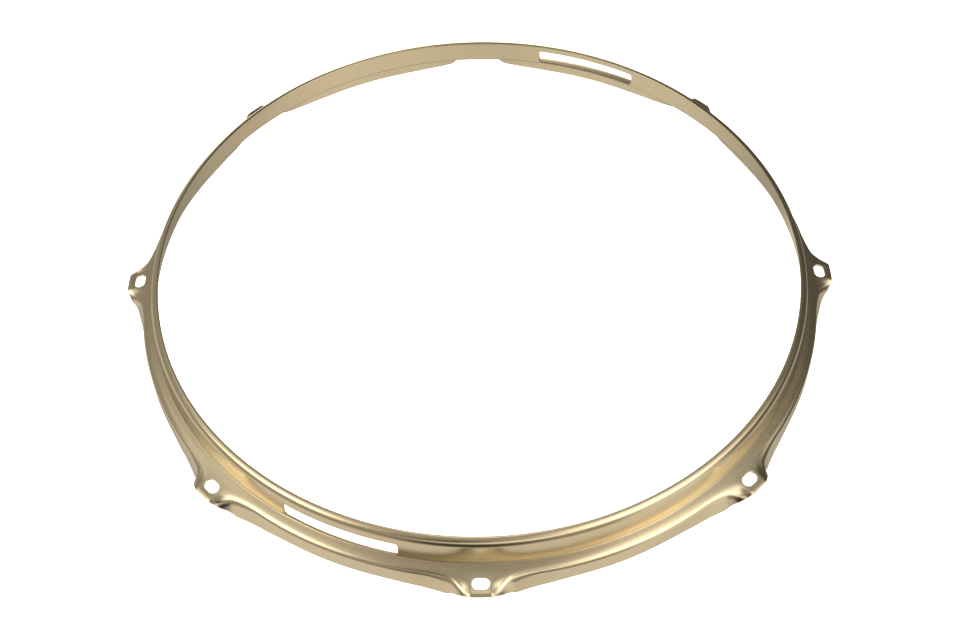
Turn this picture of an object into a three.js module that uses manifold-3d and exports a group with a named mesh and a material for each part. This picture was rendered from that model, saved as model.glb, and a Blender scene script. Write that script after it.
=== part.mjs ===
import * as THREE from "three";
import { mergeVertices } from "three/addons/utils/BufferGeometryUtils.js";
import Module from "manifold-3d";

// Snare-side hoop of a 14 inch drum: one strip of sheet brass, rolled, butt-welded and pressed into
// a rim that turns in over the head, a wall, a sloping shoulder and a skirt that hangs round the
// head's own hoop. At each tension rod the skirt unfolds into a flat ear with an oblong hole.
// Millimetres, +Z up. The skirt stands on z = 0 and the drum's axis is Z.

// Sheet and rim
const sheetThickness = 1.2;
const hoopHeight = 28.8;
const rimInnerRadius = 176.9;
const rimLipFlat = 0.4;
const rimBendRadius = 4.0;
const wallLeanDegrees = 4.6;

// Shoulder, between the wall's foot and the skirt; it overhangs the rim's inner edge
const wallFootHeight = 12.35;
const shoulderOverhang = 10.9;
const shoulderDrop = 1.6;
const shoulderRun = 0.2;
const shoulderFootSlopeDegrees = 12.7;
const shoulderOuterSlopeDegrees = 37.5;
const shoulderHandleShare = 0.29;

// Skirt; the sheet left for it runs to the floor, and its flare grows towards the ears
const skirtLength = 15.0;
const skirtBendRadius = 2.6;
const skirtFlareDegrees = 1.5;
const earFlareDegrees = 13.3;
const flareInnerHalfWidth = 14.5;
const flareOuterHalfWidth = 51.5;

// Ears; their length and height start at the shoulder's outer end
const earCount = 8;
const firstEarDegrees = -90;
const earTopHeight = 11.2;
const earSlopeDegrees = 8.5;
const earLength = 11.1;
const earCornerTrim = 1.25;
const earCornerInnerHalfWidth = 5.0;
const earCornerHalfWidth = 11.0;
const skirtFullHalfWidth = 25.0;
const earFilletRise = 2.1;
const earHandleShare = 0.48;
const earPlateauHalfWidth = 7.2;
const earSweepHalfWidth = 31.5;
const earLipLength = 1.75;
const earLipDegrees = 23;
const edgeEasing = 0.6;

// The fold line's curve from the ear's lip round to the skirt
const foldInnerHalfWidth = 5.7;
const foldOuterHalfWidth = 17.9;
const foldCurvePower = 1.75;
const foldBendShare = 0.8;
const earBendRadius = 6.0;

// Lug holes, oblong along the hoop and set back from the shoulder's outer end
const lugHoleLength = 9.2;
const lugHoleWidth = 6.5;
const lugHoleSetback = 4.5;

// Snare gates, punched through the wall with their lower edge on the wall's foot
const snareGateCount = 2;
const snareGateLength = 61.8;
const snareGateHeight = 9.6;
const snareGateCornerRadius = 1.6;

// Butt weld, ground flush
const weldWidth = 3.0;
const weldDegrees = 157.5;

// How far a punch runs past the sheet
const punchOverrun = 4.0;

// Fineness of the model
const rimSegments = 3;
const shoulderSegments = 3;
const bendSegments = 3;
const plainSections = 5;
const cornerSegments = 4;
const holeSegments = 4;
const plainInside = [1];
const sectionShares = [0, 0.15, 0.21, 0.26, 0.31, 0.36, 0.42, 0.49, 0.59, 0.77, 1];
const probeDegrees = 0.05;

const wasm = await Module();
wasm.setup();

const radians = THREE.MathUtils.degToRad;
const mix = THREE.MathUtils.lerp;
const wallLean = radians(wallLeanDegrees);
const rimCentre = new THREE.Vector2(rimInnerRadius + rimLipFlat, hoopHeight - rimBendRadius);
const earPitch = radians(360 / earCount);
const shoulderOuterRadius = rimInnerRadius + shoulderOverhang;
const lugCircleRadius = shoulderOuterRadius + lugHoleSetback;

// Radius of the wall's outer face at a height
function wallRadiusAt(height) {
  const top = rimCentre.x + rimBendRadius * Math.cos(wallLean);
  const drop = rimCentre.y + rimBendRadius * Math.sin(wallLean) - height;
  return top + drop * Math.tan(wallLean);
}

// Smaller of two lengths, eased over a given length where they cross
function easedMinimum(a, b, easing) {
  const share = THREE.MathUtils.clamp((1 + (b - a) / easing) / 2, 0, 1);
  return mix(b, a, share) - easing * share * (1 - share);
}

// The point down a slope: x is the radius and y the height. A stretch draws the section out.
function step(from, slope, length, stretch) {
  const across = length * Math.cos(slope) * stretch;
  return new THREE.Vector2(from.x + across, from.y - length * Math.sin(slope));
}

// Upper part of a section's outer face: the lip, the rim's bend and the wall down to its foot
function rimPath(footHeight) {
  const path = [new THREE.Vector2(rimInnerRadius, hoopHeight)];
  for (let i = 0; i <= rimSegments; i += 1) {
    const turn = mix(Math.PI / 2, wallLean, i / rimSegments);
    const across = rimBendRadius * Math.cos(turn);
    const up = rimBendRadius * Math.sin(turn);
    path.push(new THREE.Vector2(rimCentre.x + across, rimCentre.y + up));
  }
  path.push(new THREE.Vector2(wallRadiusAt(footHeight), footHeight));
  return path;
}

// Shoulder from the wall's foot to its outer end: rounded over between the ears, hollow on them
function shoulderPath(foot, end, footSlope, endSlope, handleShare) {
  const handle = foot.distanceTo(end) * handleShare;
  const curve = new THREE.CubicBezierCurve(
    foot,
    step(foot, footSlope, handle, 1),
    step(end, endSlope, -handle, 1),
    end,
  );
  return curve.getPoints(shoulderSegments).slice(1);
}

// Where the fold line runs, as its distance out from the shoulder's end, and how far it draws the
// section out: the fold keeps its shape square to its own line, which slants beside an ear
function foldLine(away) {
  const width = foldOuterHalfWidth - foldInnerHalfWidth;
  const share = THREE.MathUtils.clamp((away - foldInnerHalfWidth) / width, 0, 1);
  const left = 1 - THREE.MathUtils.smoothstep(share, 0, 1);
  const reach = earLength - earLipLength - shoulderRun;
  const run = shoulderRun + reach * left ** foldCurvePower;
  const easing = (6 * share * (1 - share)) / width;
  const slant = reach * foldCurvePower * left ** (foldCurvePower - 1) * easing;
  return { run, stretch: Math.hypot(1, slant) };
}

// Sheet outside the shoulder's end: an ear's length with its corners trimmed, then the skirt's
function flangeLength(away) {
  const corner = THREE.MathUtils.smoothstep(away, earCornerInnerHalfWidth, earCornerHalfWidth);
  const skirt = THREE.MathUtils.smoothstep(away, earCornerHalfWidth, skirtFullHalfWidth);
  return mix(earLength - earCornerTrim * corner, skirtLength, skirt);
}

// Bend and straight flange, from where the fold starts to the skirt's edge or the ear's end
function flangePath(start, startSlope, fold, bendRadius, stretch, length) {
  const path = [];
  let point = start;
  let left = length;
  const chord = 2 * bendRadius * Math.sin(fold / bendSegments / 2);
  for (let i = 0; i < bendSegments; i += 1) {
    const next = step(point, startSlope + (fold * (i + 0.5)) / bendSegments, chord, stretch);
    left -= next.distanceTo(point);
    point = next;
    path.push(point);
  }
  const down = step(new THREE.Vector2(), startSlope + fold, 1, stretch).normalize();
  const toEnd = Math.max(left, sheetThickness / 2);
  const toFloor = point.y / -down.y;
  path.push(point.clone().addScaledVector(down, easedMinimum(toFloor, toEnd, edgeEasing)));
  return path;
}

// Outer face of the section that stands at a given distance along the hoop from an ear's middle
function outerPath(offset) {
  const away = Math.abs(offset);
  const ear = 1 - THREE.MathUtils.smoothstep(away, earPlateauHalfWidth, earSweepHalfWidth);
  const path = rimPath(wallFootHeight + earFilletRise * ear);
  const foot = path[path.length - 1];
  // An ear's top is one plane, so it falls less steeply along a section beside its middle
  const earFall = Math.tan(radians(earSlopeDegrees));
  const square = Math.cos(away / lugCircleRadius);
  const earHeight = earTopHeight + earFall * shoulderOuterRadius * (1 - square);
  const footSlope = mix(radians(shoulderFootSlopeDegrees), Math.PI / 2 - wallLean, ear);
  const endSlope = mix(radians(shoulderOuterSlopeDegrees), Math.atan(earFall * square), ear);
  const endHeight = mix(wallFootHeight - shoulderDrop, earHeight, ear);
  const end = new THREE.Vector2(shoulderOuterRadius, endHeight);
  const handleShare = mix(shoulderHandleShare, earHandleShare, ear);
  path.push(...shoulderPath(foot, end, footSlope, endSlope, handleShare));
  const { run, stretch } = foldLine(away);
  const start = step(end, endSlope, run, 1);
  path.push(start);
  const plain = THREE.MathUtils.smoothstep(away, flareInnerHalfWidth, flareOuterHalfWidth);
  const flare = radians(mix(earFlareDegrees, skirtFlareDegrees, plain));
  const length = flangeLength(away) - run;
  const bendLength = Math.max(length, sheetThickness) * foldBendShare;
  const fullRadius = mix(skirtBendRadius, earBendRadius, ear);
  const lipFold = radians(earLipDegrees) - endSlope;
  const fullFold = Math.PI / 2 - flare - endSlope;
  const freeFold = bendLength / (fullRadius * stretch);
  const fold = Math.min(Math.max(freeFold, lipFold), fullFold);
  const bendRadius = Math.min(fullRadius, bendLength / (fold * stretch));
  path.push(...flangePath(start, endSlope, fold, bendRadius, stretch, length));
  return path;
}

// Distance along the lug circle from the middle of the nearest ear
function earOffset(angle) {
  const turned = (angle - radians(firstEarDegrees)) / earPitch;
  return (turned - Math.round(turned)) * earPitch * lugCircleRadius;
}

function outerPoints(angle) {
  const place = (p) => new THREE.Vector3(p.x * Math.cos(angle), p.x * Math.sin(angle), p.y);
  return outerPath(earOffset(angle)).map(place);
}

// The sheet's other face, one thickness in from the outer face along its normal, and trimmed
// level where the skirt stands on the floor
function innerPoints(angle) {
  const turn = radians(probeDegrees);
  const outer = outerPoints(angle);
  const before = outerPoints(angle - turn);
  const after = outerPoints(angle + turn);
  const inner = outer.map((point, i) => {
    const first = outer[Math.max(i - 1, 0)];
    const last = outer[Math.min(i + 1, outer.length - 1)];
    const along = last.clone().sub(first);
    const round = after[i].clone().sub(before[i]);
    const inward = round.cross(along).normalize();
    return point.clone().addScaledVector(inward, sheetThickness);
  });
  const [above, edge] = inner.slice(-2);
  if (edge.z < 0) edge.lerp(above, edge.z / (edge.z - above.z));
  return inner;
}

// One closed section: down the outer face and back up the inner one
function sectionLoop(angle) {
  const outer = outerPoints(angle);
  const inner = innerPoints(angle).filter((point, i) => !plainInside.includes(i));
  return [...outer, ...inner.reverse()];
}

// Angles of all sections, close together on the ears and wide apart between them
function sectionAngles() {
  const angles = [];
  for (let ear = 0; ear < earCount; ear += 1) {
    const middle = radians(firstEarDegrees) + ear * earPitch;
    for (const share of sectionShares) {
      const turn = (share * earSweepHalfWidth) / lugCircleRadius;
      angles.push(middle + turn);
      if (share > 0) angles.push(middle - turn);
    }
    const clear = earPitch - (2 * earSweepHalfWidth) / lugCircleRadius;
    for (let i = 1; i <= plainSections; i += 1) {
      const turn = earSweepHalfWidth / lugCircleRadius + (clear * i) / (plainSections + 1);
      angles.push(middle + turn);
    }
  }
  return angles;
}

// Solid swept through sections, with flat ends
function sweptSolid(angles) {
  const loops = angles.map(sectionLoop);
  const count = loops[0].length;
  const positions = loops.flat().flatMap((p) => [p.x, p.y, p.z]);
  const triangles = [];
  for (let s = 0; s < loops.length - 1; s += 1) {
    for (let i = 0; i < count; i += 1) {
      const a = s * count + i;
      const b = s * count + ((i + 1) % count);
      triangles.push(a, b, a + count);
      triangles.push(b, b + count, a + count);
    }
  }
  const flat = loops[0].map((p) => new THREE.Vector2(Math.hypot(p.x, p.y), p.z));
  const last = (loops.length - 1) * count;
  for (const face of THREE.ShapeUtils.triangulateShape(flat, [])) {
    const clockwise = THREE.ShapeUtils.isClockWise(face.map((i) => flat[i]));
    const [a, b, c] = clockwise ? face.reverse() : face;
    triangles.push(a, b, c);
    triangles.push(last + a, last + c, last + b);
  }
  const geometry = new THREE.BufferGeometry();
  geometry.setAttribute("position", new THREE.Float32BufferAttribute(positions, 3));
  geometry.setIndex(triangles);
  return geometry;
}

function toSolid(geometry) {
  const bare = geometry.clone();
  bare.deleteAttribute("normal");
  bare.deleteAttribute("uv");
  const merged = mergeVertices(bare);
  const vertProperties = new Float32Array(merged.attributes.position.array);
  const triVerts = new Uint32Array(merged.index.array);
  return new wasm.Manifold(new wasm.Mesh({ numProp: 3, vertProperties, triVerts }));
}

function toGeometry(solid) {
  const mesh = solid.getMesh();
  const geometry = new THREE.BufferGeometry();
  geometry.setAttribute("position", new THREE.BufferAttribute(mesh.vertProperties, 3));
  geometry.setIndex(new THREE.BufferAttribute(mesh.triVerts, 1));
  geometry.computeVertexNormals();
  return geometry;
}

// Rectangle with round corners, centred on its own origin
function roundedRectangle(length, height, radius) {
  const x = length / 2;
  const y = height / 2;
  const shape = new THREE.Shape();
  shape.moveTo(-x + radius, -y);
  shape.lineTo(x - radius, -y);
  shape.absarc(x - radius, -y + radius, radius, -Math.PI / 2, 0);
  shape.lineTo(x, y - radius);
  shape.absarc(x - radius, y - radius, radius, 0, Math.PI / 2);
  shape.lineTo(-x + radius, y);
  shape.absarc(-x + radius, y - radius, radius, Math.PI / 2, Math.PI);
  shape.lineTo(-x, -y + radius);
  shape.absarc(-x + radius, -y + radius, radius, Math.PI, Math.PI * 1.5);
  return shape;
}

function punchGeometry(outline, depth, curveSegments) {
  return new THREE.ExtrudeGeometry(outline, { depth, curveSegments, bevelEnabled: false });
}

// Punch for one lug hole: an oblong that runs through the ear from below
function lugPunch(angle) {
  const outline = roundedRectangle(lugHoleLength, lugHoleWidth, lugHoleWidth / 2);
  const punch = punchGeometry(outline, sheetThickness + 2 * punchOverrun, holeSegments);
  punch.rotateZ(angle + Math.PI / 2);
  const base = earTopHeight - sheetThickness - punchOverrun;
  punch.translate(lugCircleRadius * Math.cos(angle), lugCircleRadius * Math.sin(angle), base);
  return punch;
}

// Punch for one snare gate: it runs outward through the wall, above the shoulder
function gatePunch(angle) {
  const outline = roundedRectangle(snareGateLength, snareGateHeight, snareGateCornerRadius);
  const middleHeight = wallFootHeight + snareGateHeight / 2;
  const wallMiddle = wallRadiusAt(middleHeight);
  const sagitta = wallMiddle - Math.sqrt(wallMiddle ** 2 - (snareGateLength / 2) ** 2);
  const depth = sagitta + sheetThickness + 2 * punchOverrun;
  const punch = punchGeometry(outline, depth, cornerSegments);
  punch.rotateX(Math.PI / 2);
  punch.rotateZ(Math.PI / 2);
  punch.translate(wallMiddle + punchOverrun - depth, 0, middleHeight);
  punch.rotateZ(angle);
  return punch;
}

function weldAngles() {
  const half = weldWidth / 2 / shoulderOuterRadius;
  const middle = radians(weldDegrees);
  return [middle - half, middle, middle + half];
}

// The strip runs from one side of the weld right round to the other
function hoopStrip() {
  const [weldStart, , weldEnd] = weldAngles();
  const lap = 2 * Math.PI;
  const span = lap - (weldEnd - weldStart);
  const turned = sectionAngles().map((a) => THREE.MathUtils.euclideanModulo(a - weldEnd, lap));
  const inside = turned.filter((a) => a > 0 && a < span).sort((a, b) => a - b);
  const angles = [weldEnd, ...inside.map((a) => a + weldEnd), weldStart + lap];
  let solid = toSolid(sweptSolid(angles));
  for (let ear = 0; ear < earCount; ear += 1) {
    solid = solid.subtract(toSolid(lugPunch(radians(firstEarDegrees) + ear * earPitch)));
  }
  for (let gate = 0; gate < snareGateCount; gate += 1) {
    const angle = radians(firstEarDegrees) - earPitch / 2 + (gate * lap) / snareGateCount;
    solid = solid.subtract(toSolid(gatePunch(angle)));
  }
  return toGeometry(solid);
}

function seamWeld() {
  const geometry = sweptSolid(weldAngles());
  geometry.computeVertexNormals();
  return geometry;
}

function brushedBrass() {
  return new THREE.MeshStandardMaterial({ color: 0xcdba96, roughness: 0.32, metalness: 1 });
}

function groundBrass() {
  return new THREE.MeshStandardMaterial({ color: 0xc8b48e, roughness: 0.38, metalness: 1 });
}

function namedMesh(name, geometry, material) {
  const mesh = new THREE.Mesh(geometry, material);
  mesh.name = name;
  return mesh;
}

const group = new THREE.Group();
group.add(namedMesh("hoop_strip", hoopStrip(), brushedBrass()));
group.add(namedMesh("seam_weld", seamWeld(), groundBrass()));

export default group;
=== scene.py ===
import math

import bpy
import numpy as np
from mathutils import Matrix, Vector


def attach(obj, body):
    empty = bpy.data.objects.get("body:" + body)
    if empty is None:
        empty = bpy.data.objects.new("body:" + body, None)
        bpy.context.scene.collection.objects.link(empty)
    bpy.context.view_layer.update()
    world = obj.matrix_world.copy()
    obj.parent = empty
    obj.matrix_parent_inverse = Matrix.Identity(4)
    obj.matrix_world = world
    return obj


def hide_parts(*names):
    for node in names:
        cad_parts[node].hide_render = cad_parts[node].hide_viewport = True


# Snare-side drum hoop, dressed for a studio picture. Sizes are in millimetres. They repeat the
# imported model's, except on the ears and in the skirt beside them, where they follow the photograph
# more closely.

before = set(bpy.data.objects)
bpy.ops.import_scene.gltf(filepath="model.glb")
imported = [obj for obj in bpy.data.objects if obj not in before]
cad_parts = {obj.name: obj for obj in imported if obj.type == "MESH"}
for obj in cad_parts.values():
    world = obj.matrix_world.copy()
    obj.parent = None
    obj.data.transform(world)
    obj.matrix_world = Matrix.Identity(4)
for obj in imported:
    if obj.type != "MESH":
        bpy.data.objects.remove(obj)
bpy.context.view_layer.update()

MM = 0.001

# Sheet and rim
SHEET = 1.2
HOOP_HEIGHT = 28.8
RIM_INNER_RADIUS = 176.9
RIM_LIP_FLAT = 0.4
RIM_BEND_RADIUS = 4.0
WALL_LEAN = math.radians(4.6)

# Shoulder, between the wall's foot and the skirt
WALL_FOOT_HEIGHT = 12.35
SHOULDER_OUTER_RADIUS = RIM_INNER_RADIUS + 10.9
SHOULDER_DROP = 1.6
SHOULDER_RUN = 0.2
SHOULDER_FOOT_SLOPE = math.radians(12.7)
SHOULDER_OUTER_SLOPE = math.radians(37.5)
SHOULDER_HANDLE_SHARE = 0.29
CREASE_REACH = 0.25

# Skirt
SKIRT_LENGTH = 15.0
SKIRT_BEND_RADIUS = 2.6
SKIRT_FLARE = math.radians(1.5)
EAR_FLARE = math.radians(14.1)
FLARE_INNER_HALF_WIDTH = 14.5
FLARE_OUTER_HALF_WIDTH = 52.5

# Ears; their tops are a little hollow, steeper at the shoulder than at the lip
EAR_COUNT = 8
FIRST_EAR = math.radians(-90)
EAR_PITCH = 2 * math.pi / EAR_COUNT
EAR_TOP_HEIGHT = 11.2
EAR_FALL = math.tan(math.radians(10.5))
EAR_END_FALL = math.tan(math.radians(6.0))
EAR_LENGTH = 11.1
EAR_CORNER_TRIM = 1.3
EAR_CORNER_INNER_HALF_WIDTH = 5.0
EAR_CORNER_OUTER_HALF_WIDTH = 11.3
SKIRT_INNER_HALF_WIDTH = 7.4
SKIRT_FULL_HALF_WIDTH = 25.5
EAR_FOOT_SLOPE = math.radians(12)
EAR_PLATEAU_HALF_WIDTH = 7.2
EAR_SWEEP_HALF_WIDTH = 31.5
EAR_LIP_LENGTH = 1.75
EAR_LIP_SLOPE = math.radians(23)
EDGE_EASING = 0.6

# The fold line's curve from the ear's lip round to the skirt
FOLD_INNER_HALF_WIDTH = 3.4
FOLD_OUTER_HALF_WIDTH = 19.4
FOLD_CURVE_POWER = 1.88
FOLD_BEND_SHARE = 0.8
EAR_BEND_RADIUS = 6.5
FOLD_REACH = EAR_LENGTH - EAR_LIP_LENGTH - SHOULDER_RUN

# Either side of its hole an ear's top rolls off gently towards the fold
ROLL_INNER_HALF_WIDTH = 4.6
ROLL_RADIUS = 15.0
ROLL_REACH = 4.5
ROLL_FADE = 4

# Lug holes and snare gates
LUG_HOLE_LENGTH = 9.0
LUG_HOLE_WIDTH = 6.0
LUG_CIRCLE_RADIUS = SHOULDER_OUTER_RADIUS + 4.5
GATE_COUNT = 2
GATE_LENGTH = 61.8
GATE_HEIGHT = 9.6
GATE_CORNER_RADIUS = 1.6
GATE_SILL = 0.32

# Butt weld
WELD_WIDTH = 3.0
WELD_ANGLE = math.radians(157.5)
WELD_SECTIONS = 5

# Broken edges, as left by the deburring, and how many points go round each
EDGE_BREAK = 0.16
EDGE_POINTS = 3

# Fineness
EAR_STEP = math.radians(0.125)
PLAIN_STEP = math.radians(0.5)
GATE_END_STEP = math.radians(0.125)
GATE_END_REACH = math.radians(0.5)
EAR_ZONE = math.radians(9)
RIM_STEPS = 12
WALL_ROWS = 24
CREASE_STEPS = 3
SHOULDER_STEPS = 12
RUN_ROWS = 16
BEND_STEPS = 14
FLANGE_ROWS = 6
PATCH_COLUMNS = 12
PATCH_ROWS = (2, 14)
PATCH_RINGS = 3
PROBE = math.radians(0.05)

# Patterns in the brass, with their scales per metre
CLOUD_SCALE = 32.0
SMEAR_SCALE = 130.0
SPECK_SCALE = 900.0
SPECK_STRENGTH = 0.35
SPECK_BRIGHTNESS = 0.72
SPECK_ROUGHENING = 0.2
GRAIN_ROUGHENING = 0.03
GRAIN_BUMP = 0.5

# Floor, in metres
FLOOR_RADIUS = 1.6
SWEEP_RADIUS = 2.0
SWEEP_STEPS = 12
FLOOR_SEGMENTS = 48
PAPER_TONES = (0.90, 0.92)
PAPER_MOTTLE_SCALE = 6.0
PAPER_ROUGHNESS = 0.9
PAPER_GLOW = 1.0

# Camera, as solved from the photograph
FRAME_PIXELS = 960
FOCAL_PIXELS = 1372.4
SENSOR_WIDTH = 36.0
CAMERA_AZIMUTH = math.radians(0.918)
CAMERA_ELEVATION = math.radians(51.97)
CAMERA_ROLL = math.radians(1.559)
CAMERA_AIM = Vector((0.33, -23.58, 0.0)) * MM
CAMERA_DISTANCE = 770.8 * MM
NEAREST_SEEN = 0.01
FARTHEST_SEEN = 20.0


def smooth_share(value, low, high):
    share = np.clip((value - low) / (high - low), 0, 1)
    return share * share * (3 - 2 * share)


def mix(a, b, share):
    return a + (b - a) * share


def eased_minimum(a, b, easing):
    """Smaller of two lengths, eased over a given length where they cross."""
    share = np.clip((1 + (b - a) / easing) / 2, 0, 1)
    return mix(b, a, share) - easing * share * (1 - share)


def slope_step(slope):
    """Unit step down a slope, as radius and height."""
    return np.stack([np.cos(slope), -np.sin(slope)], axis=-1)


def wall_radius(height):
    """Radius of the wall's outer face at a height."""
    top = RIM_INNER_RADIUS + RIM_LIP_FLAT + RIM_BEND_RADIUS * math.cos(WALL_LEAN)
    drop = HOOP_HEIGHT - RIM_BEND_RADIUS + RIM_BEND_RADIUS * math.sin(WALL_LEAN) - height
    return top + drop * math.tan(WALL_LEAN)


def pair(radius, height, count):
    """The same point for every section."""
    return np.tile([radius, height], (count, 1)).astype(float)


def corner_rows(corner, way_in, way_out):
    """A small round corner between two straight runs."""
    start, end = corner - way_in * CREASE_REACH, corner + way_out * CREASE_REACH
    rows = []
    for share in np.linspace(0, 1, CREASE_STEPS + 1):
        rows.append(mix(mix(start, corner, share), mix(corner, end, share), share))
    return rows


def rim_rows(count):
    rows = [pair(RIM_INNER_RADIUS, HOOP_HEIGHT, count)]
    centre = np.array([RIM_INNER_RADIUS + RIM_LIP_FLAT, HOOP_HEIGHT - RIM_BEND_RADIUS])
    for turn in np.linspace(math.pi / 2, WALL_LEAN, RIM_STEPS + 1):
        across = RIM_BEND_RADIUS * np.array([math.cos(turn), math.sin(turn)])
        rows.append(pair(*(centre + across), count))
    return rows


def shoulder_rows(foot, end, foot_slope, end_slope):
    handle = np.linalg.norm(end - foot, axis=1)[:, None] * SHOULDER_HANDLE_SHARE
    near = foot + slope_step(foot_slope) * handle
    far = end - slope_step(end_slope) * handle
    rows = []
    for t in np.linspace(0, 1, SHOULDER_STEPS + 1)[1:]:
        curve = foot * (1 - t) ** 3 + near * 3 * t * (1 - t) ** 2 + far * 3 * t**2 * (1 - t) + end * t**3
        rows.append(curve)
    return rows


def fold_line(away):
    """Where the fold line runs, as its distance out from the shoulder's end, and how far it draws
    the section out: the fold keeps its shape square to its own line, which slants beside an ear."""
    width = FOLD_OUTER_HALF_WIDTH - FOLD_INNER_HALF_WIDTH
    share = np.clip((away - FOLD_INNER_HALF_WIDTH) / width, 0, 1)
    left = 1 - smooth_share(share, 0, 1)
    left_slope = 6 * share * (1 - share) / width
    run = SHOULDER_RUN + FOLD_REACH * left**FOLD_CURVE_POWER
    slant = FOLD_REACH * FOLD_CURVE_POWER * left ** (FOLD_CURVE_POWER - 1) * left_slope
    return run, np.hypot(1, slant)


def flange_length(away):
    """Sheet outside the shoulder's end: an ear's with its corners trimmed, then the skirt's."""
    corner = smooth_share(away, EAR_CORNER_INNER_HALF_WIDTH, EAR_CORNER_OUTER_HALF_WIDTH)
    skirt = smooth_share(away, SKIRT_INNER_HALF_WIDTH, SKIRT_FULL_HALF_WIDTH)
    return mix(EAR_LENGTH - EAR_CORNER_TRIM * corner, SKIRT_LENGTH, skirt)


def fold_bend(ear, start_slope, end_slope, stretch, length):
    """How far the fold turns and its radius: tight on the skirt, broad beside an ear, and only as
    far as the sheet that is left for it reaches."""
    bend_length = np.maximum(length, SHEET) * FOLD_BEND_SHARE
    full_radius = mix(SKIRT_BEND_RADIUS, EAR_BEND_RADIUS, ear)
    free_turn = bend_length / (full_radius * stretch)
    turn = np.minimum(np.maximum(free_turn, EAR_LIP_SLOPE - start_slope), end_slope - start_slope)
    return turn, np.minimum(full_radius, bend_length / (turn * stretch))


def flange_rows(start, start_slope, turn, radius, stretch, length):
    """Bend and straight flange down to the skirt's edge or the ear's end."""
    drawn = np.stack([stretch, np.ones_like(stretch)], axis=-1)
    rows = []
    point, left = start, length
    chord = (2 * radius * np.sin(turn / BEND_STEPS / 2))[:, None]
    for i in range(BEND_STEPS):
        step = slope_step(start_slope + turn * (i + 0.5) / BEND_STEPS) * drawn * chord
        left = left - np.linalg.norm(step, axis=1)
        point = point + step
        rows.append(point)
    down = slope_step(start_slope + turn) * drawn
    down /= np.linalg.norm(down, axis=1)[:, None]
    to_floor = point[:, 1] / -down[:, 1]
    straight = eased_minimum(to_floor, np.maximum(left, SHEET / 2), EDGE_EASING)[:, None]
    for share in np.linspace(0, 1, FLANGE_ROWS + 1)[1:]:
        rows.append(point + down * straight * share)
    return rows


def run_drop(out, fall, ear, away=0.0):
    """How far the top has fallen at a distance out from the shoulder's end, and its fall there."""
    change = (EAR_END_FALL - fall) * ear / FOLD_REACH
    past = np.maximum(away - ROLL_INNER_HALF_WIDTH, 0)
    roll = past**2 / (2 * ROLL_RADIUS) / (1 + past**2 / ROLL_RADIUS**2 * ROLL_FADE)
    drop = fall * out + change * out**2 / 2 + roll * (out / ROLL_REACH) ** 2
    return drop, fall + change * out + 2 * roll * out / ROLL_REACH**2


def face_rows(offsets):
    """Outer face of the sections at these distances from an ear's middle, as rows of radius and
    height from the lip down, with the row numbers where its wall and its flat run start and end."""
    count = len(offsets)
    away = np.abs(offsets)
    ear = 1 - smooth_share(away, EAR_PLATEAU_HALF_WIDTH, EAR_SWEEP_HALF_WIDTH)
    rows = rim_rows(count)
    marks = {"wall_top": len(rows) - 1}
    foot = pair(wall_radius(WALL_FOOT_HEIGHT), WALL_FOOT_HEIGHT, count)
    foot_slope = mix(SHOULDER_FOOT_SLOPE, EAR_FOOT_SLOPE, ear)
    down_wall = slope_step(np.full(count, math.pi / 2 - WALL_LEAN))
    crease = corner_rows(foot, down_wall, slope_step(foot_slope))
    for share in np.linspace(0, 1, WALL_ROWS + 1)[1:-1]:
        rows.append(mix(rows[marks["wall_top"]], crease[0], share))
    marks["wall_foot"] = len(rows)
    rows.extend(crease)
    end_slope = mix(SHOULDER_OUTER_SLOPE, math.atan(EAR_FALL), ear)
    end_height = mix(WALL_FOOT_HEIGHT - SHOULDER_DROP, EAR_TOP_HEIGHT, ear)
    end = np.stack([np.full(count, SHOULDER_OUTER_RADIUS), end_height], axis=-1)
    rows.extend(shoulder_rows(crease[-1], end, foot_slope, end_slope))
    marks["run_start"] = len(rows) - 1
    run, stretch = fold_line(away)
    for share in np.linspace(0, 1, RUN_ROWS + 1)[1:]:
        drop, fall = run_drop(run * share, np.tan(end_slope), ear, away)
        rows.append(end + np.stack([run * share, -drop], axis=-1))
    marks["run_end"] = len(rows) - 1
    plain = smooth_share(away, FLARE_INNER_HALF_WIDTH, FLARE_OUTER_HALF_WIDTH)
    start_slope, length = np.arctan(fall), flange_length(away) - run
    skirt_slope = math.pi / 2 - mix(EAR_FLARE, SKIRT_FLARE, plain)
    turn, radius = fold_bend(ear, start_slope, skirt_slope, stretch, length)
    rows.extend(flange_rows(rows[-1], start_slope, turn, radius, stretch, length))
    return np.stack(rows, axis=1), marks


def ear_offset(angles):
    """Distance along the lug circle from the middle of the nearest ear."""
    turned = (angles - FIRST_EAR) / EAR_PITCH
    return (turned - np.round(turned)) * EAR_PITCH * LUG_CIRCLE_RADIUS


def place(rows, angles):
    radius, height = rows[..., 0], rows[..., 1]
    return np.stack([radius * np.cos(angles)[:, None], radius * np.sin(angles)[:, None], height], -1)


def inner_points(angles):
    """The sheet's other face, one thickness in, and level where the skirt stands on the floor."""
    outer = place(face_rows(ear_offset(angles))[0], angles)
    before = place(face_rows(ear_offset(angles - PROBE))[0], angles - PROBE)
    after = place(face_rows(ear_offset(angles + PROBE))[0], angles + PROBE)
    padded = np.concatenate([outer[:, :1], outer, outer[:, -1:]], axis=1)
    inward = np.cross(after - before, padded[:, 2:] - padded[:, :-2])
    inner = outer + SHEET * inward / np.linalg.norm(inward, axis=-1, keepdims=True)
    edge, above = inner[:, -1], inner[:, -2]
    share = np.clip(edge[:, 2] / (edge[:, 2] - above[:, 2]), 0, 1)[:, None]
    inner[:, -1] = mix(edge, above, share)
    return inner


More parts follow.
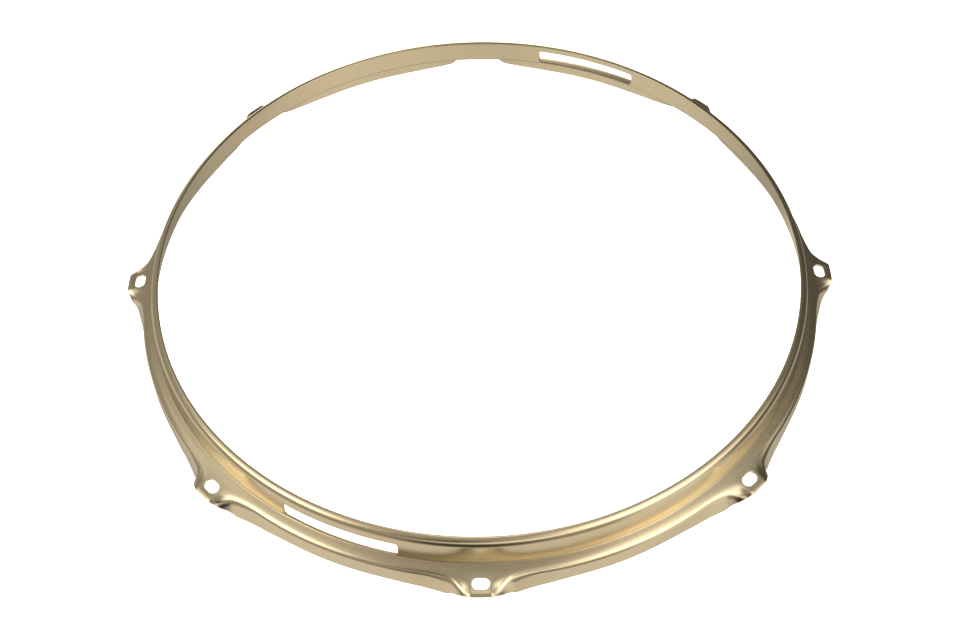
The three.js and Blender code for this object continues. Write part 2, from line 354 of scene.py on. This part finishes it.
def broken_edge(before, edge, after):
    """Three points round a sheet edge whose sharp corner was taken off."""
    into = (before - edge) / np.linalg.norm(before - edge, axis=-1, keepdims=True)
    out = (after - edge) / np.linalg.norm(after - edge, axis=-1, keepdims=True)
    middle = edge + (into + out) * EDGE_BREAK * (1 - math.sqrt(0.5))
    return [edge + into * EDGE_BREAK, middle, edge + out * EDGE_BREAK]


def section_loops(angles):
    """Closed sections: down the outer face, round the edge, up the inner face and round the lip.
    With them go the loop numbers of the outer and the inner rows."""
    rows, marks = face_rows(ear_offset(angles))
    outer = place(rows, angles)
    inner = inner_points(angles)
    row_count = outer.shape[1]
    loop = broken_edge(inner[:, 0], outer[:, 0], outer[:, 1])
    loop += [outer[:, i] for i in range(1, row_count - 1)]
    loop += broken_edge(outer[:, -2], outer[:, -1], inner[:, -1])
    loop += broken_edge(outer[:, -1], inner[:, -1], inner[:, -2])
    loop += [inner[:, i] for i in range(row_count - 2, 0, -1)]
    loop += broken_edge(inner[:, 1], inner[:, 0], outer[:, 0])
    points = np.stack(loop, axis=1)
    outer_row = {name: EDGE_POINTS - 1 + row for name, row in marks.items()}
    last = 2 * row_count + 3 * EDGE_POINTS - 4
    inner_row = {name: last - row for name, row in marks.items()}
    return points, outer_row, inner_row


def angles_between(start, end):
    """Angles of the sections, close together on the ears and at the gates' ends."""
    gate_end = math.asin(GATE_LENGTH / 2 / wall_radius(WALL_FOOT_HEIGHT))
    angles = [start, end]
    for ear in range(EAR_COUNT + 1):
        middle = FIRST_EAR + ear * EAR_PITCH
        reach = round(EAR_ZONE / EAR_STEP)
        angles += [middle + i * EAR_STEP for i in range(-reach, reach + 1)]
        plain = round((EAR_PITCH - 2 * EAR_ZONE) / PLAIN_STEP)
        angles += [middle + EAR_ZONE + i * PLAIN_STEP for i in range(plain)]
    for gate in range(GATE_COUNT):
        for side in (-1, 1):
            middle = gate_angle(gate) + side * gate_end
            reach = round(GATE_END_REACH / GATE_END_STEP)
            angles += [middle + i * GATE_END_STEP for i in range(-reach, reach + 1)]
    turned = np.mod(np.array(angles) - start, 2 * math.pi)
    turned = np.sort(turned[turned < end - start + PROBE / 10])
    apart = np.concatenate([[True], np.diff(turned) > PROBE])
    inside = turned[apart]
    inside[-1] = end - start
    return start + inside


def gate_angle(gate):
    return FIRST_EAR - EAR_PITCH / 2 + gate * 2 * math.pi / GATE_COUNT


def ear_surface(angle):
    """Point of an ear's top, by its place along and across the hoop from the hole's middle and its
    depth in the sheet."""
    def at(x, y, depth):
        turn = angle + np.arctan2(x, LUG_CIRCLE_RADIUS + y)
        radius = np.hypot(x, LUG_CIRCLE_RADIUS + y)
        drop, fall = run_drop(radius - SHOULDER_OUTER_RADIUS, EAR_FALL, 1, np.abs(x))
        upright = 1 / np.hypot(1, fall)
        radius = radius - depth * fall * upright
        height = EAR_TOP_HEIGHT - drop - depth * upright
        return np.column_stack([radius * np.cos(turn), radius * np.sin(turn), height])
    return at


def wall_surface(angle):
    """Point of the wall, by its distance from the gate's middle plane, its height and its depth."""
    def at(x, y, depth):
        radius = wall_radius(y) - depth / math.cos(WALL_LEAN)
        turn = angle + np.arcsin(x / radius)
        return np.column_stack([radius * np.cos(turn), radius * np.sin(turn), y])
    return at


def nearest_outline(x, y, length, height, radius, middle):
    """Nearest points of a rounded rectangle, and the directions that point away from it."""
    core_x = np.clip(x, radius - length / 2, length / 2 - radius)
    core_y = np.clip(y, middle + radius - height / 2, middle + height / 2 - radius)
    away = np.column_stack([x - core_x, y - core_y])
    away /= np.linalg.norm(away, axis=1, keepdims=True)
    return np.column_stack([core_x, core_y]) + away * radius, away


class Piece:
    """Vertices and faces of one swept piece of the hoop."""

    def __init__(self, angles):
        self.angles = angles
        self.loops, self.outer_row, self.inner_row = section_loops(angles)
        self.size = self.loops.shape[1]
        self.points = [self.loops.reshape(-1, 3)]
        self.count = len(self.points[0])
        self.open = np.ones((len(angles) - 1, self.size), dtype=bool)
        self.faces = []

    def add_ring(self, ring):
        self.points.append(ring)
        self.count += len(ring)
        return np.arange(self.count - len(ring), self.count)

    def bridge(self, rings):
        for first, second in zip(rings, rings[1:]):
            self.faces.append(np.column_stack([first, np.roll(first, -1), np.roll(second, -1), second]))

    def block_ring(self, left, right, top, bottom, row_numbers):
        """Vertex numbers round a block of the grid, down its first side and back up its other."""
        down = [(left, row) for row in range(top, bottom)]
        across = [(column, bottom) for column in range(left, right)]
        up = [(right, row) for row in range(bottom, top, -1)]
        back = [(column, top) for column in range(right, left, -1)]
        return np.array([column * self.size + row_numbers(row) for column, row in down + across + up + back])

    def punch(self, block, rows_start, surface, frame_of, outline):
        """Cuts a hole with broken edges through both faces of a block of the grid."""
        left, right, top, bottom = block
        outer = self.block_ring(left, right, top, bottom, lambda row: self.outer_row[rows_start] + row)
        inner = self.block_ring(left, right, top, bottom, lambda row: self.inner_row[rows_start] - row)
        first_outer = self.outer_row[rows_start] + top
        first_inner = self.inner_row[rows_start] - bottom
        self.open[left:right, first_outer:first_outer + bottom - top] = False
        self.open[left:right, first_inner:first_inner + bottom - top] = False
        grid = self.loops.reshape(-1, 3)
        x, y = frame_of(grid[outer])
        edge, away = nearest_outline(x, y, **outline)
        rings = [outer]
        rim = surface(*(edge + away * EDGE_BREAK).T, 0)
        for share in np.linspace(0, 1, PATCH_RINGS + 1)[1:]:
            rings.append(self.add_ring(mix(grid[outer], rim, share)))
        for turn in (math.pi / 4, math.pi / 2):
            out, down = EDGE_BREAK * (1 - math.sin(turn)), EDGE_BREAK * (1 - math.cos(turn))
            rings.append(self.add_ring(surface(*(edge + away * out).T, down)))
        for turn in (math.pi / 2, math.pi / 4):
            out, down = EDGE_BREAK * (1 - math.sin(turn)), SHEET - EDGE_BREAK * (1 - math.cos(turn))
            rings.append(self.add_ring(surface(*(edge + away * out).T, down)))
        rim = surface(*(edge + away * EDGE_BREAK).T, SHEET)
        for share in np.linspace(0, 1, PATCH_RINGS + 1)[:-1]:
            rings.append(self.add_ring(mix(rim, grid[inner], share)))
        rings.append(inner)
        self.bridge(rings)

    def column_near(self, angle):
        turned = np.mod(angle - self.angles[0], 2 * math.pi)
        return int(np.argmin(np.abs(self.angles - self.angles[0] - turned)))

    def punch_lug_hole(self, angle):
        middle = self.column_near(angle)
        block = (middle - PATCH_COLUMNS, middle + PATCH_COLUMNS, *PATCH_ROWS)
        along = np.array([-math.sin(angle), math.cos(angle)])
        out = np.array([math.cos(angle), math.sin(angle)])
        outline = dict(length=LUG_HOLE_LENGTH, height=LUG_HOLE_WIDTH, radius=LUG_HOLE_WIDTH / 2, middle=0)
        frame_of = lambda points: (points[:, :2] @ along, points[:, :2] @ out - LUG_CIRCLE_RADIUS)
        self.punch(block, "run_start", ear_surface(angle), frame_of, outline)

    def punch_gate(self, angle):
        wall_top = self.loops[0, self.outer_row["wall_top"], 2]
        wall_foot = self.loops[self.column_near(angle), self.outer_row["wall_foot"], 2]
        row_height = (wall_top - wall_foot) / WALL_ROWS
        gate_top = WALL_FOOT_HEIGHT + GATE_HEIGHT
        top = math.floor((wall_top - gate_top - 2 * EDGE_BREAK) / row_height)
        reach = math.asin((GATE_LENGTH / 2 + 4 * EDGE_BREAK) / wall_radius(WALL_FOOT_HEIGHT))
        left, right = self.column_near(angle - reach), self.column_near(angle + reach)
        height = GATE_HEIGHT - GATE_SILL
        middle = gate_top - height / 2
        outline = dict(length=GATE_LENGTH, height=height, radius=GATE_CORNER_RADIUS, middle=middle)
        along = np.array([-math.sin(angle), math.cos(angle)])
        frame_of = lambda points: (points[:, :2] @ along, points[:, 2])
        self.punch((left, right, top, WALL_ROWS), "wall_top", wall_surface(angle), frame_of, outline)

    def mesh(self, name):
        columns, rows = np.nonzero(self.open)
        following = (rows + 1) % self.size
        here, there = columns * self.size, (columns + 1) * self.size
        self.faces.append(np.column_stack([here + rows, here + following, there + following, there + rows]))
        quads = np.concatenate(self.faces)
        ends = [np.arange(self.size)[::-1], np.arange(self.size) + (len(self.angles) - 1) * self.size]
        mesh = bpy.data.meshes.new(name)
        polygons = quads.tolist() + [end.tolist() for end in ends]
        mesh.from_pydata((np.concatenate(self.points) * MM).tolist(), [], polygons)
        smooth = np.arange(len(mesh.polygons)) < len(quads)
        mesh.polygons.foreach_set("use_smooth", smooth)
        mesh.validate()
        mesh.update()
        return mesh


def show_piece(piece, name, node, material):
    obj = bpy.data.objects.new(name, piece.mesh(name))
    bpy.context.scene.collection.objects.link(obj)
    obj.data.materials.append(material)
    normals = obj.modifiers.new("even_shading", "WEIGHTED_NORMAL")
    normals.mode = "FACE_AREA"
    normals.weight = 50
    normals.keep_sharp = True
    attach(obj, "root")
    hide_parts(node)
    return obj


def weld_span():
    half = WELD_WIDTH / 2 / SHOULDER_OUTER_RADIUS
    return WELD_ANGLE - half, WELD_ANGLE + half


def make_strip(material):
    start, end = weld_span()
    strip = Piece(angles_between(end, start + 2 * math.pi))
    for ear in range(EAR_COUNT):
        strip.punch_lug_hole(FIRST_EAR + ear * EAR_PITCH)
    for gate in range(GATE_COUNT):
        strip.punch_gate(gate_angle(gate))
    return show_piece(strip, "strip_surface", "hoop_strip", material)


def make_weld(material):
    weld = Piece(np.linspace(*weld_span(), WELD_SECTIONS))
    return show_piece(weld, "weld_surface", "seam_weld", material)


class Nodes:
    """Short calls for building a node tree."""

    def __init__(self, tree):
        self.tree = tree
        tree.nodes.clear()

    def add(self, kind, **settings):
        node = self.tree.nodes.new(kind)
        for key, value in settings.items():
            setattr(node, key, value)
        return node

    def link(self, source, target):
        self.tree.links.new(source, target)

    def feed(self, socket, value):
        if isinstance(value, bpy.types.NodeSocket):
            self.link(value, socket)
        else:
            socket.default_value = value

    def math(self, operation, *values):
        node = self.add("ShaderNodeMath", operation=operation)
        for socket, value in zip(node.inputs, values):
            self.feed(socket, value)
        return node.outputs[0]

    def spread(self, value, low, high, to_low, to_high, smooth=False):
        """Maps a value from one range to another and holds it at the ends."""
        node = self.add("ShaderNodeMapRange", interpolation_type="SMOOTHSTEP" if smooth else "LINEAR")
        for socket, given in zip(node.inputs, (value, low, high, to_low, to_high)):
            self.feed(socket, given)
        return node.outputs[0]

    def blend(self, share, first, second):
        node = self.add("ShaderNodeMix", data_type="RGBA")
        self.feed(node.inputs[0], share)
        self.feed(node.inputs[6], first)
        self.feed(node.inputs[7], second)
        return node.outputs[2]

    def noise(self, vector, scale, detail, roughness=0.5):
        node = self.add("ShaderNodeTexNoise")
        self.link(vector, node.inputs["Vector"])
        node.inputs["Scale"].default_value = scale
        node.inputs["Detail"].default_value = detail
        node.inputs["Roughness"].default_value = roughness
        return node.outputs["Fac"]


def hoop_coordinates(nodes, along, across):
    """Coordinates that run round the hoop, so that a pattern stretches along the rolled strip."""
    position = nodes.add("ShaderNodeNewGeometry").outputs["Position"]
    split = nodes.add("ShaderNodeSeparateXYZ")
    nodes.link(position, split.inputs[0])
    x, y, z = split.outputs
    angle = nodes.math("ARCTAN2", y, x)
    x_squared, y_squared = nodes.math("MULTIPLY", x, x), nodes.math("MULTIPLY", y, y)
    radius = nodes.math("SQRT", nodes.math("ADD", x_squared, y_squared))
    joined = nodes.add("ShaderNodeCombineXYZ")
    arc = nodes.math("MULTIPLY", angle, along * SHOULDER_OUTER_RADIUS * MM)
    nodes.link(arc, joined.inputs[0])
    nodes.link(nodes.math("MULTIPLY", z, across), joined.inputs[1])
    nodes.link(nodes.math("MULTIPLY", radius, across), joined.inputs[2])
    return joined.outputs[0], position


def brass(name, along, across, base, warm, cool, roughness, grain_depth):
    """Satin brass: fine grain stretched by the polishing, cloudy warmth and a few dull specks."""
    material = bpy.data.materials.new(name)
    material.use_nodes = True
    nodes = Nodes(material.node_tree)
    shader = nodes.add("ShaderNodeBsdfPrincipled")
    shader.inputs["Metallic"].default_value = 1.0
    grain_space, position = hoop_coordinates(nodes, along, across)
    grain = nodes.noise(grain_space, 1.0, 4.0, 0.6)
    clouds = nodes.noise(position, CLOUD_SCALE, 3.0)
    smears = nodes.noise(position, SMEAR_SCALE, 4.0, 0.65)
    warmth = nodes.spread(clouds, 0.38, 0.62, 0.0, 1.0, smooth=True)
    tinted = nodes.blend(warmth, (*cool, 1), (*warm, 1))
    toned = nodes.blend(nodes.spread(smears, 0.35, 0.75, 0.0, 1.0), (*base, 1), tinted)
    specks = nodes.spread(nodes.noise(position, SPECK_SCALE, 2.0), 0.70, 0.76, 0.0, SPECK_STRENGTH)
    dull = tuple(SPECK_BRIGHTNESS * c for c in base)
    nodes.link(nodes.blend(specks, toned, (*dull, 1)), shader.inputs["Base Color"])
    streaks = nodes.spread(grain, 0.3, 0.7, roughness - GRAIN_ROUGHENING, roughness + GRAIN_ROUGHENING)
    rough = nodes.math("ADD", streaks, nodes.spread(smears, 0.3, 0.7, -0.02, 0.025))
    speck_rough = nodes.math("MULTIPLY", specks, SPECK_ROUGHENING)
    nodes.link(nodes.math("ADD", rough, speck_rough), shader.inputs["Roughness"])
    bump = nodes.add("ShaderNodeBump")
    bump.inputs["Strength"].default_value = GRAIN_BUMP
    bump.inputs["Distance"].default_value = grain_depth * MM
    nodes.link(grain, bump.inputs["Height"])
    nodes.link(bump.outputs[0], shader.inputs["Normal"])
    nodes.link(shader.outputs[0], nodes.add("ShaderNodeOutputMaterial").inputs["Surface"])
    return material


def brushed_brass():
    return brass("brushed_brass", along=60.0, across=2200.0, base=(0.610, 0.525, 0.370),
                 warm=(0.625, 0.515, 0.355), cool=(0.595, 0.530, 0.385), roughness=0.23, grain_depth=0.004)


def ground_brass():
    return brass("ground_brass", along=1800.0, across=300.0, base=(0.600, 0.515, 0.360),
                 warm=(0.612, 0.508, 0.350), cool=(0.588, 0.520, 0.372), roughness=0.27, grain_depth=0.005)


def floor_material():
    """Evenly lit white paper, bright enough to lose the hoop's shadow as a cut-out picture does."""
    material = bpy.data.materials.new("pale_floor")
    material.use_nodes = True
    nodes = Nodes(material.node_tree)
    shader = nodes.add("ShaderNodeBsdfPrincipled")
    position = nodes.add("ShaderNodeNewGeometry").outputs["Position"]
    mottle = nodes.noise(position, PAPER_MOTTLE_SCALE, 2.0)
    darker, lighter = [(tone, tone, tone, 1) for tone in PAPER_TONES]
    nodes.link(nodes.blend(mottle, darker, lighter), shader.inputs["Base Color"])
    shader.inputs["Roughness"].default_value = PAPER_ROUGHNESS
    shader.inputs["Emission Color"].default_value = (1, 1, 1, 1)
    shader.inputs["Emission Strength"].default_value = PAPER_GLOW
    nodes.link(shader.outputs[0], nodes.add("ShaderNodeOutputMaterial").inputs["Surface"])
    return material


def make_floor():
    """Floor that sweeps up into a wall all round. The metal mirrors the studio's light and not the
    paper, as the studio's lower half stands for the table."""
    profile = [(FLOOR_RADIUS, 0)]
    for turn in np.linspace(0, math.pi / 2, SWEEP_STEPS + 1)[1:]:
        profile.append((FLOOR_RADIUS + SWEEP_RADIUS * math.sin(turn), SWEEP_RADIUS * (1 - math.cos(turn))))
    turns = np.linspace(0, 2 * math.pi, FLOOR_SEGMENTS, endpoint=False)
    rings = [[(r * math.cos(a), r * math.sin(a), z) for a in turns] for r, z in profile]
    count = FLOOR_SEGMENTS
    faces = [list(range(count))]
    for ring in range(len(rings) - 1):
        for i in range(count):
            here, there = ring * count + i, ring * count + (i + 1) % count
            faces.append([here, here + count, there + count, there])
    mesh = bpy.data.meshes.new("floor")
    mesh.from_pydata([point for ring in rings for point in ring], [], faces)
    floor = bpy.data.objects.new("floor", mesh)
    bpy.context.scene.collection.objects.link(floor)
    mesh.materials.append(floor_material())
    floor.visible_glossy = False
    floor.visible_shadow = False


# Studio light that the metal mirrors: name, azimuth and elevation of the middle, half width and
# half height in degrees, softness of the edge and radiance, less than nothing where a dark corner
# takes light away. Azimuth 0 is the camera's side and grows to its right.
ROOM_LIGHT = 0.42
DARKEST_LIGHT = 0.03
LIGHT_COLOUR = (0.91, 0.86, 0.745)
STUDIO = (
    ("left_softbox", -100, 60, 30, 15, 0.3, 0.7),
    ("left_window", -70, 45, 20, 15, 0.6, 3.3),
    ("right_softbox", 40, 45, 50, 20, 0.5, 2.3),
    ("right_window", 55, 20, 15, 50, 0.2, 0.7),
    ("top_light", 95, 70, 30, 6, 0.6, 1.6),
    ("rear_top_light", -175, 70, 15, 7, 0.6, 2.0),
    ("rear_table", -170, -15, 20, 30, 0.4, 2.8),
    ("left_table", -25, -50, 90, 20, 0.5, 0.6),
    ("right_table", 85, -45, 40, 28, 0.6, 0.3),
    ("front_dark", -5, -15, 15, 25, 0.7, -0.6),
    ("right_dark", 130, 15, 60, 35, 0.2, -0.3),
    ("front_high_dark", 5, 50, 25, 15, 0.4, -2.0),
    ("rear_dark", -160, 15, 7, 50, 0.3, -2.0),
    ("left_low_light", -75, -20, 55, 15, 0.3, 0.4),
)


def sky_patch(nodes, azimuth, elevation, patch):
    """Light from one soft-edged patch of the studio, by direction in degrees."""
    _, middle_azimuth, middle_elevation, half_width, half_height, softness, radiance = patch
    turned = nodes.math("SUBTRACT", azimuth, middle_azimuth)
    side = nodes.math("ABSOLUTE", nodes.math("WRAP", turned, 180.0, -180.0))
    height = nodes.math("ABSOLUTE", nodes.math("SUBTRACT", elevation, middle_elevation))
    inner, outer = 1 - softness, 1 + softness
    across = nodes.spread(side, half_width * outer, half_width * inner, 0.0, 1.0, smooth=True)
    upright = nodes.spread(height, half_height * outer, half_height * inner, 0.0, 1.0, smooth=True)
    return nodes.math("MULTIPLY", nodes.math("MULTIPLY", across, upright), radiance)


def make_studio():
    world = bpy.data.worlds.new("studio")
    bpy.context.scene.world = world
    world.use_nodes = True
    nodes = Nodes(world.node_tree)
    direction = nodes.add("ShaderNodeTexCoord").outputs["Generated"]
    split = nodes.add("ShaderNodeSeparateXYZ")
    nodes.link(direction, split.inputs[0])
    x, y, z = split.outputs
    azimuth = nodes.math("DEGREES", nodes.math("ARCTAN2", x, nodes.math("MULTIPLY", y, -1.0)))
    elevation = nodes.math("DEGREES", nodes.math("ARCSINE", z))
    light = ROOM_LIGHT
    for patch in STUDIO:
        light = nodes.math("ADD", light, sky_patch(nodes, azimuth, elevation, patch))
    light = nodes.math("MAXIMUM", light, DARKEST_LIGHT)
    background = nodes.add("ShaderNodeBackground")
    background.inputs["Color"].default_value = (*LIGHT_COLOUR, 1)
    nodes.link(light, background.inputs["Strength"])
    nodes.link(background.outputs[0], nodes.add("ShaderNodeOutputWorld").inputs["Surface"])


def make_camera():
    data = bpy.data.cameras.new("photo_camera")
    data.sensor_width = SENSOR_WIDTH
    data.lens = SENSOR_WIDTH * FOCAL_PIXELS / FRAME_PIXELS
    data.clip_start, data.clip_end = NEAREST_SEEN, FARTHEST_SEEN
    camera = bpy.data.objects.new("photo_camera", data)
    level = math.cos(CAMERA_ELEVATION)
    side, front = math.sin(CAMERA_AZIMUTH) * level, -math.cos(CAMERA_AZIMUTH) * level
    back = Vector((side, front, math.sin(CAMERA_ELEVATION)))
    turn = (-back).to_track_quat("-Z", "Y").to_matrix().to_4x4()
    camera.matrix_world = Matrix.Translation(CAMERA_AIM + back * CAMERA_DISTANCE) @ turn @ Matrix.Rotation(
        -CAMERA_ROLL, 4, "Z")
    bpy.context.scene.collection.objects.link(camera)
    bpy.context.scene.camera = camera


make_strip(brushed_brass())
make_weld(ground_brass())
make_floor()
make_studio()
make_camera()
bpy.context.scene.view_settings.view_transform = "Standard"
